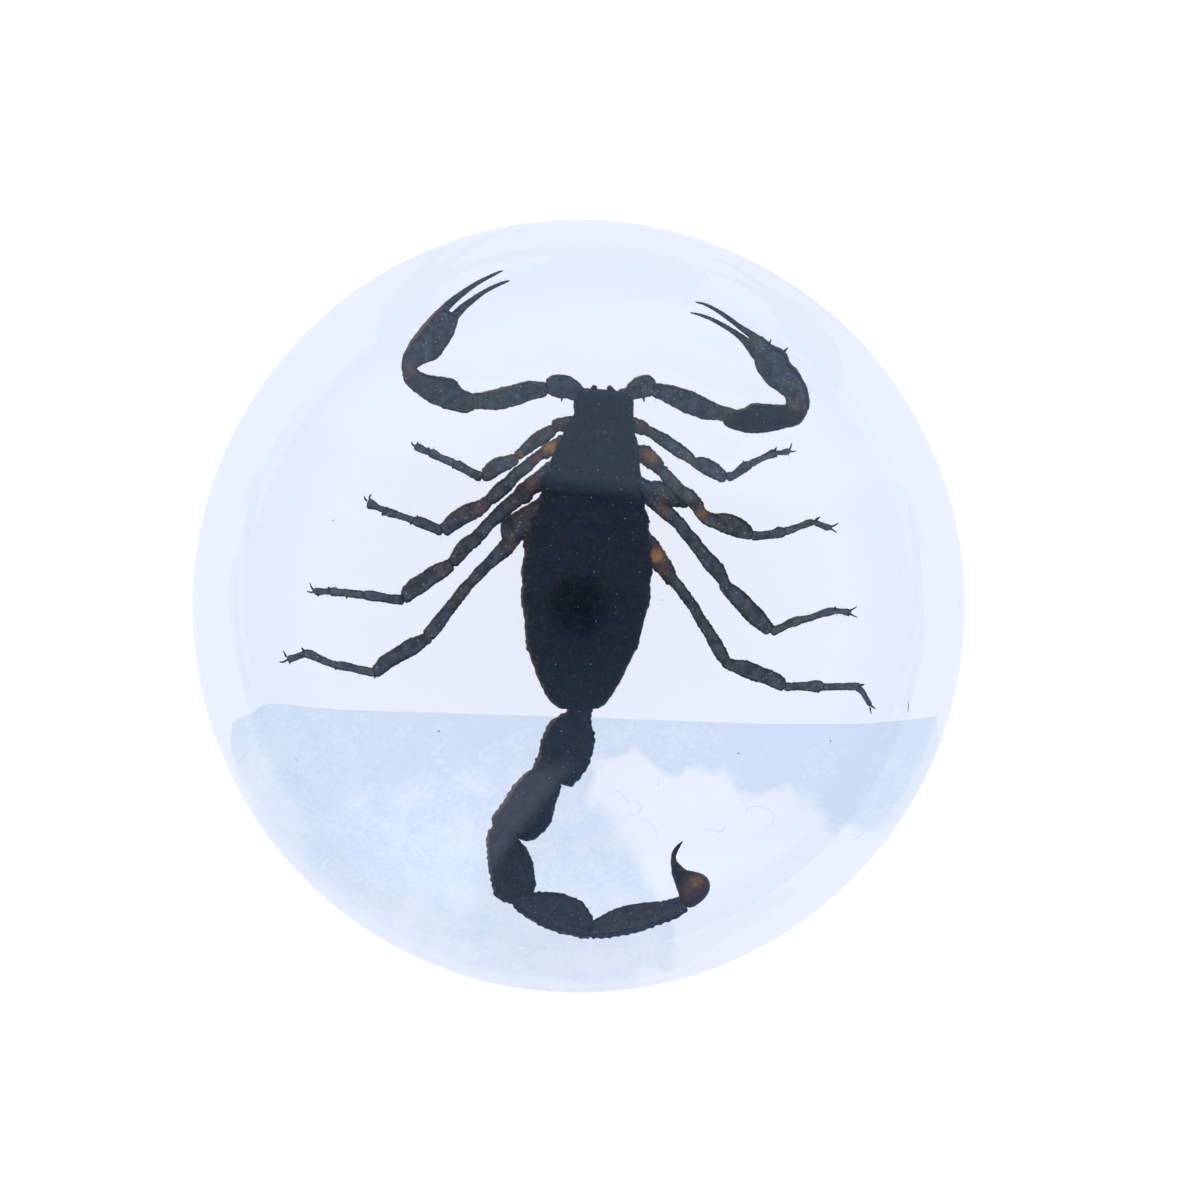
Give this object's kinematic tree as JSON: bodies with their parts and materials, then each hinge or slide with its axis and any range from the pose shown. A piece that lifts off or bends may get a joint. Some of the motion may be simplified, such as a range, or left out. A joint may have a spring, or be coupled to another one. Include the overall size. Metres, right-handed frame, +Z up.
{
  "type": "scorpion in resin block",
  "caption": "Round clear resin paperweight with a flat base and a domed top, holding a sealed dry scorpion.",
  "frame": {"origin": "centre of the flat base, on the surface that the block stands on", "axes": "+Z up through the crown of the dome, +Y towards the scorpion's head, +X towards its right-hand pincer seen from above"},
  "size_m": [0.063, 0.063, 0.022],
  "materials": {
    "clear_resin": "polished clear cast resin, faintly blue",
    "dry_cuticle": "dark, finely granulated scorpion cuticle, sealed in the resin",
    "joint_skin": "brown, part see-through skin at the leg joints and sting, sealed in the resin",
    "seam_film": "thin hazy seam between the two pours of resin"
  },
  "bodies": {
    "root": {"resin_block": "clear_resin"}
  },
  "joints": []
}
